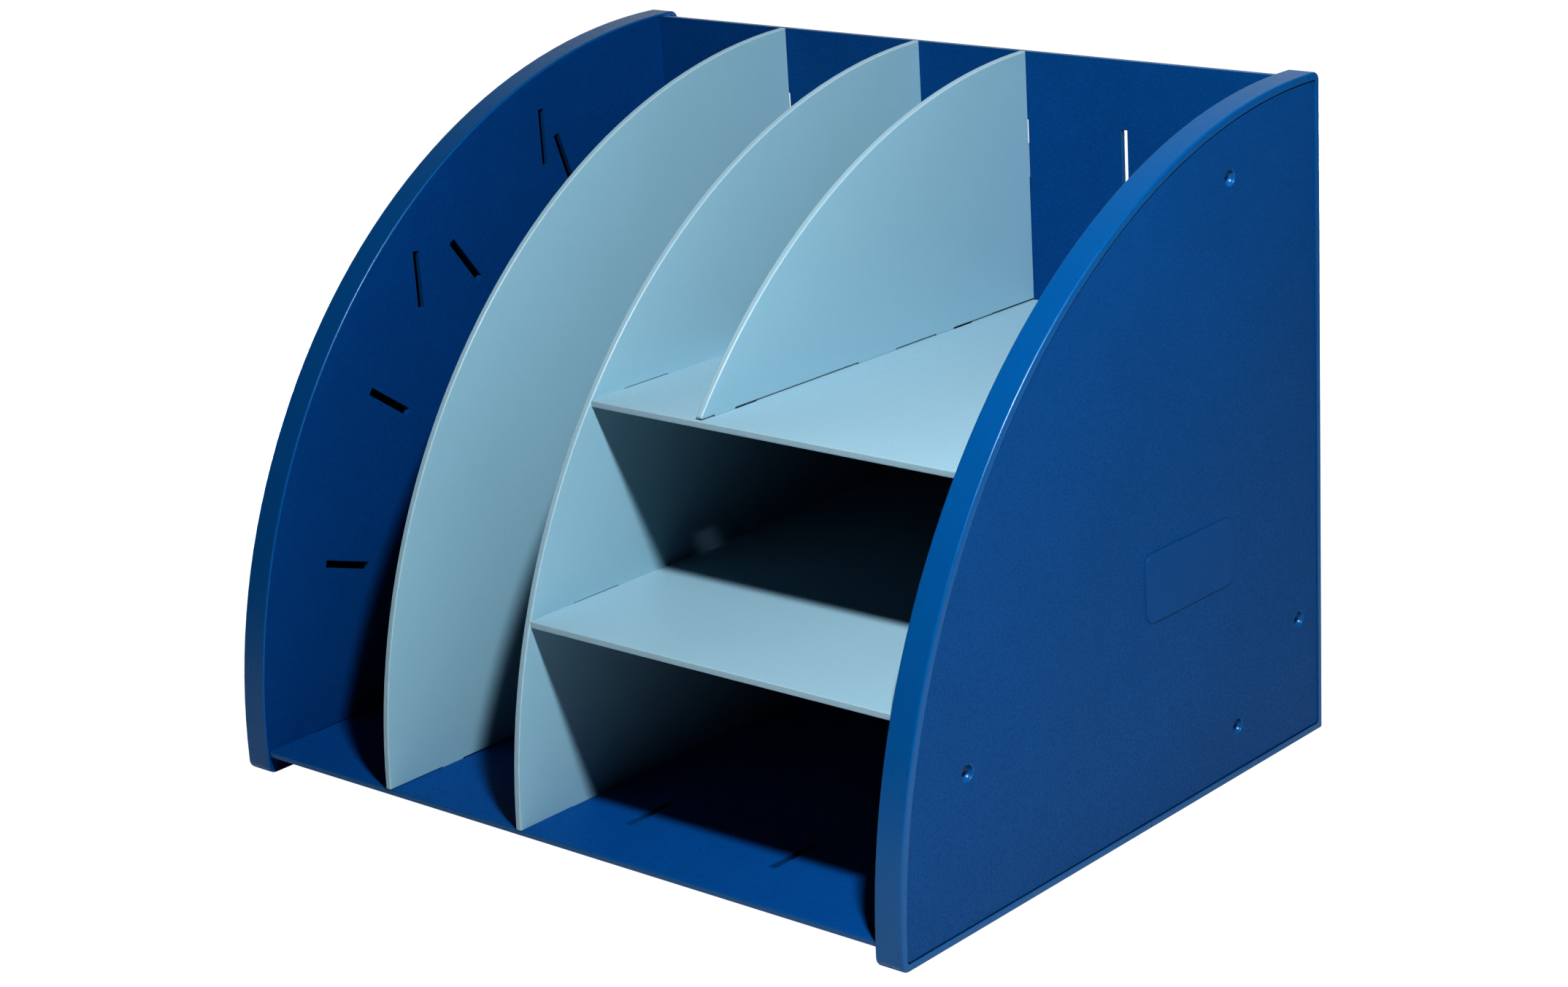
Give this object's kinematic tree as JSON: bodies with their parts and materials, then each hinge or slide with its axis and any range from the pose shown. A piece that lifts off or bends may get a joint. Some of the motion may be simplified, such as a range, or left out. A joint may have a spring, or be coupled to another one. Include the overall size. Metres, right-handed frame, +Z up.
{
  "type": "desk organizer",
  "caption": "Quarter-round desktop organizer: hollow side panels, back and bottom panels, slot-in upright dividers and shelves for papers and files.",
  "frame": {"origin": "bottom centre of the bounding box; the side panels stand on Z = 0", "axes": "+X to the right of someone facing the open front, -Y towards the open front, +Z up"},
  "size_m": [0.43, 0.338, 0.335],
  "materials": {
    "side_blue": "fine leather grain on the flat faces, smooth satin rim",
    "panel_blue": "fine leather grain, satin",
    "sheet_light_blue": "smooth satin sheet"
  },
  "bodies": {
    "frame": {"side_shell_right": "side_blue", "side_shell_left": "side_blue", "side_cover_right": "side_blue", "side_cover_left": "side_blue", "back_panel": "panel_blue", "bottom_panel": "panel_blue", "divider_middle": "sheet_light_blue", "upper_shelf": "sheet_light_blue", "lower_shelf": "sheet_light_blue"},
    "left_divider": {"divider_left": "sheet_light_blue"},
    "short_divider": {"divider_short": "sheet_light_blue"}
  },
  "joints": [
    {"name": "divider_left_lift", "type": "slide", "parent": "frame", "child": "left_divider", "axis": [0, 0, 1], "range_m": [0, 0.013]},
    {"name": "divider_short_lift", "type": "slide", "parent": "frame", "child": "short_divider", "axis": [0, 0, 1], "range_m": [0, 0.013]}
  ]
}
